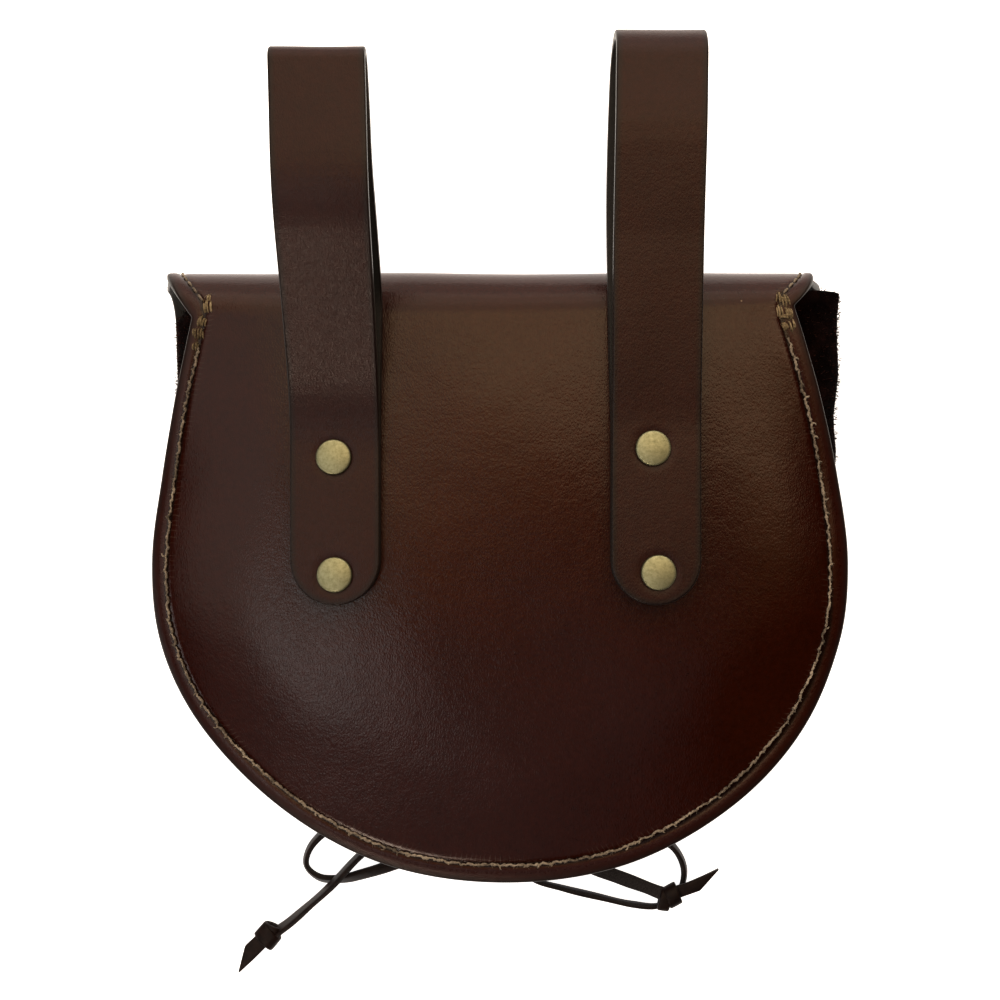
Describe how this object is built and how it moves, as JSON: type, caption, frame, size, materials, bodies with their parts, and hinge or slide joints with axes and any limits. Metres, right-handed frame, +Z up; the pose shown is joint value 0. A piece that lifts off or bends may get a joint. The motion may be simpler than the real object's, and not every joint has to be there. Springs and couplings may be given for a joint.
{
  "type": "leather belt pouch",
  "caption": "D-shaped leather belt pouch lying on its flap: back and flap in one sheet, suede gusset, riveted belt loops and a lace bow.",
  "frame": {"origin": "on the surface that the pouch lies on, in the flap's flat middle, on the pouch's centre line, 131 mm above its rounded bottom edge", "axes": "+Z up, out of the back; +Y from the rounded bottom towards the belt loops; +X to the right as the back is seen"},
  "size_m": [0.2442, 0.3375, 0.0991],
  "materials": {
    "body_leather": "smooth dark brown grain leather, satin",
    "front_leather": "smooth dark brown leather",
    "strap_leather": "smooth dark brown strap leather, satin",
    "suede": "rough suede flesh side",
    "brass": "antique brass",
    "lace": "dark brown lace leather"
  },
  "bodies": {
    "root": {"back_and_flap": "body_leather", "front_panel": "front_leather", "gusset": "suede", "belt_loop_left": "strap_leather", "belt_loop_right": "strap_leather", "rivet_left_upper": "brass", "rivet_left_lower": "brass", "rivet_right_upper": "brass", "rivet_right_lower": "brass", "bow_knot": "lace", "lace_bridge": "lace", "lace_loop_left": "lace", "lace_loop_right": "lace", "lace_end_left": "lace", "lace_end_right": "lace", "end_knot_left": "lace", "end_knot_right": "lace"}
  },
  "joints": []
}
